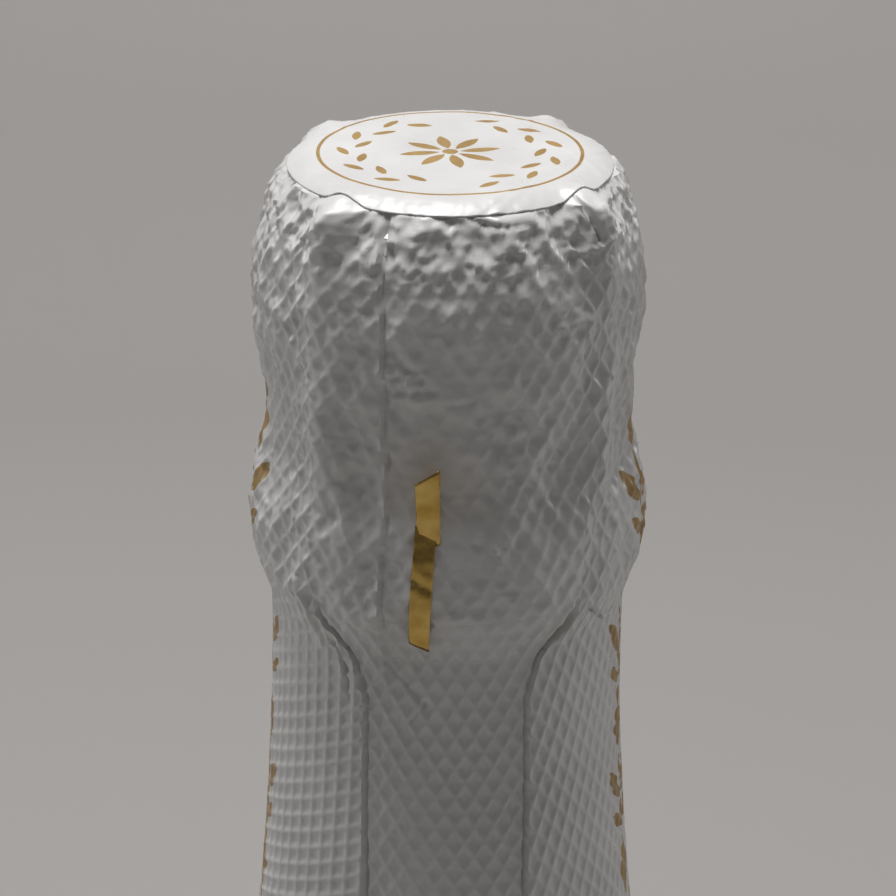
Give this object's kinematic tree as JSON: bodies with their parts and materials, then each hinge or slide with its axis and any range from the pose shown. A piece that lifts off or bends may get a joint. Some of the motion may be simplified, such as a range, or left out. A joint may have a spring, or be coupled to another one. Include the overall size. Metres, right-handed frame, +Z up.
{
  "type": "champagne bottle",
  "caption": "Sealed sparkling-wine bottle with punt, cork, twisted wire hood and a white embossed foil capsule with a gold tear tab.",
  "frame": {"origin": "centre of the base, on the surface the bottle stands on", "axes": "+Z up the bottle's axis towards the mouth, -Y towards the front, where the gold tear tab is, +X to the right seen from the front"},
  "size_m": [0.088, 0.088, 0.3167],
  "materials": {
    "green_glass": "polished",
    "wine": "gloss",
    "granulated_cork": "matte",
    "natural_cork": "matte",
    "tinplate": "satin",
    "steel_wire": "satin",
    "white_foil": "satin",
    "gold_foil": "gloss"
  },
  "bodies": {
    "bottle": {"glass_bottle": "green_glass", "wine": "wine", "foil_skirt": "white_foil"},
    "cork": {"cork_body": "granulated_cork", "cork_disc_upper": "natural_cork", "cork_disc_lower": "natural_cork"},
    "wire_hood": {"cap_plaque": "tinplate", "cage_wire": "steel_wire", "belt_wire": "steel_wire"},
    "wire_loop": {"wire_loop": "steel_wire"},
    "foil_cap": {"foil_hood": "white_foil", "top_disc": "white_foil", "tear_strip": "white_foil", "tear_tape": "gold_foil"},
    "tear_tab": {"tear_tab": "gold_foil"}
  },
  "joints": [
    {"name": "cork_pull", "type": "slide", "parent": "bottle", "child": "cork", "axis": [0, 0, 1], "range_m": [0, 0.05]},
    {"name": "wire_hood_lift", "type": "slide", "parent": "cork", "child": "wire_hood", "axis": [0, 0, 1], "range_m": [0, 0.045], "deforming": ["cage_wire", "belt_wire"]},
    {"name": "loop_fold", "type": "hinge", "parent": "wire_hood", "child": "wire_loop", "pos_m": [-0.00172, 0.01639, 0.28325], "axis": [-0.9945, -0.1045, 0], "range_deg": [0, 150]},
    {"name": "foil_cap_lift", "type": "slide", "parent": "wire_hood", "child": "foil_cap", "axis": [0, 0, 1], "range_m": [0, 0.05], "deforming": ["foil_hood", "tear_strip", "tear_tape"]},
    {"name": "tab_pull", "type": "hinge", "parent": "foil_cap", "child": "tear_tab", "pos_m": [-0.00173, -0.01646, 0.2758], "axis": [0.9945, -0.1045, 0], "range_deg": [0, 150]}
  ]
}
